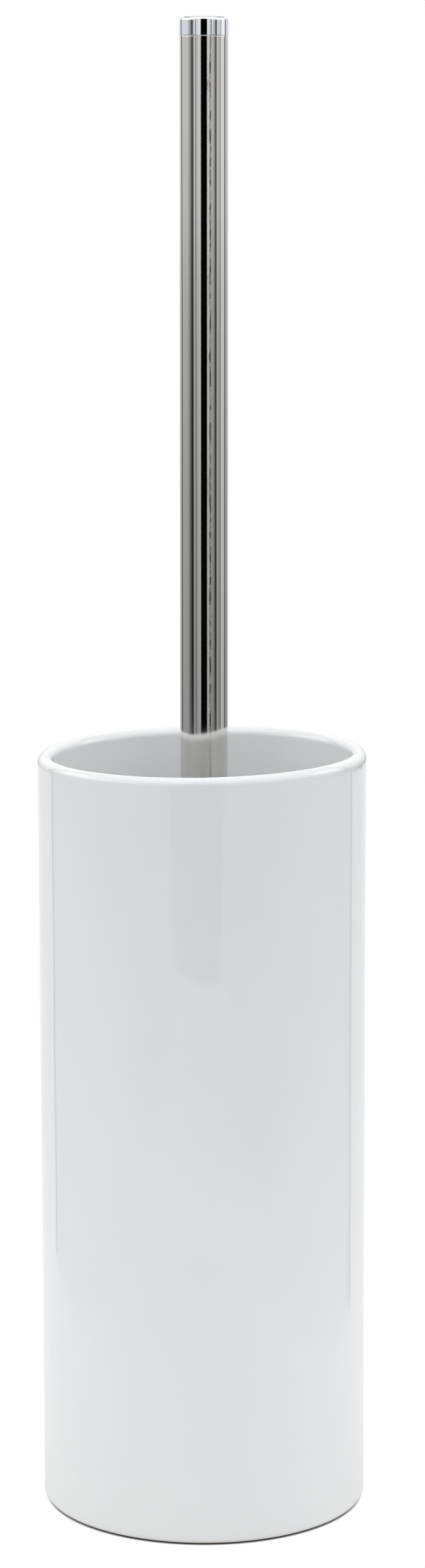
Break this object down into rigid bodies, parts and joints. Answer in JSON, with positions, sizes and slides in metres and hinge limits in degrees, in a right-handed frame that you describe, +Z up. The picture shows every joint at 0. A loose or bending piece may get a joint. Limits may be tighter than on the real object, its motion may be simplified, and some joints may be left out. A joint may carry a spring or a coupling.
{
  "type": "toilet brush holder",
  "caption": "Free-standing toilet brush holder: a tall round cup of white glazed ceramic, with a toilet brush on a polished steel tube handle standing loose in it.",
  "frame": {"origin": "on the standing surface, at the centre of the anti-slip ring's underside", "axes": "+Z up, along the common axis of the cup and the handle, which is also the longest extent; the object is round, so +X and +Y are free; the picture looks along +Y"},
  "size_m": [0.088, 0.088, 0.4005],
  "materials": {
    "white_glaze": "gloss",
    "black_foam": "matte",
    "polished_steel": "polished",
    "plated_cap": "polished",
    "grey_nylon": "satin",
    "zinc_stud": "satin",
    "seal_rubber": "matte",
    "brass_insert": "satin",
    "white_moulding": "satin",
    "white_bristle": "satin"
  },
  "bodies": {
    "holder": {"holder": "white_glaze", "anti_slip_ring": "black_foam"},
    "brush_head": {"brush_core": "white_moulding", "threaded_insert": "brass_insert", "bristle_row_1": "white_bristle", "bristle_row_2": "white_bristle", "bristle_row_3": "white_bristle", "bristle_row_4": "white_bristle", "bristle_row_5": "white_bristle", "bristle_row_6": "white_bristle", "bristle_row_7": "white_bristle", "bristle_row_8": "white_bristle", "bristle_row_9": "white_bristle", "nose_row_upper": "white_bristle", "nose_row_lower": "white_bristle", "bristle_tip": "white_bristle"},
    "seal": {"seal_washer": "seal_rubber"},
    "handle": {"handle_tube": "polished_steel", "end_cap": "plated_cap", "tube_bush": "grey_nylon", "threaded_stud": "zinc_stud"}
  },
  "joints": [
    {"name": "brush_lift", "type": "slide", "parent": "holder", "child": "brush_head", "axis": [0, 0, 1], "range_m": [0, 0.21]},
    {"name": "handle_rise", "type": "slide", "parent": "brush_head", "child": "seal", "axis": [0, 0, 1], "range_m": [0, 0.0125]},
    {"name": "handle_unscrew", "type": "hinge", "parent": "seal", "child": "handle", "pos_m": [0, 0, 0.1097], "axis": [0, 0, 1], "range_deg": [0, 3600]}
  ],
  "couplings": [
    {"joint": "handle_unscrew", "follows": "handle_rise", "rad_per_m": 5026.5}
  ]
}
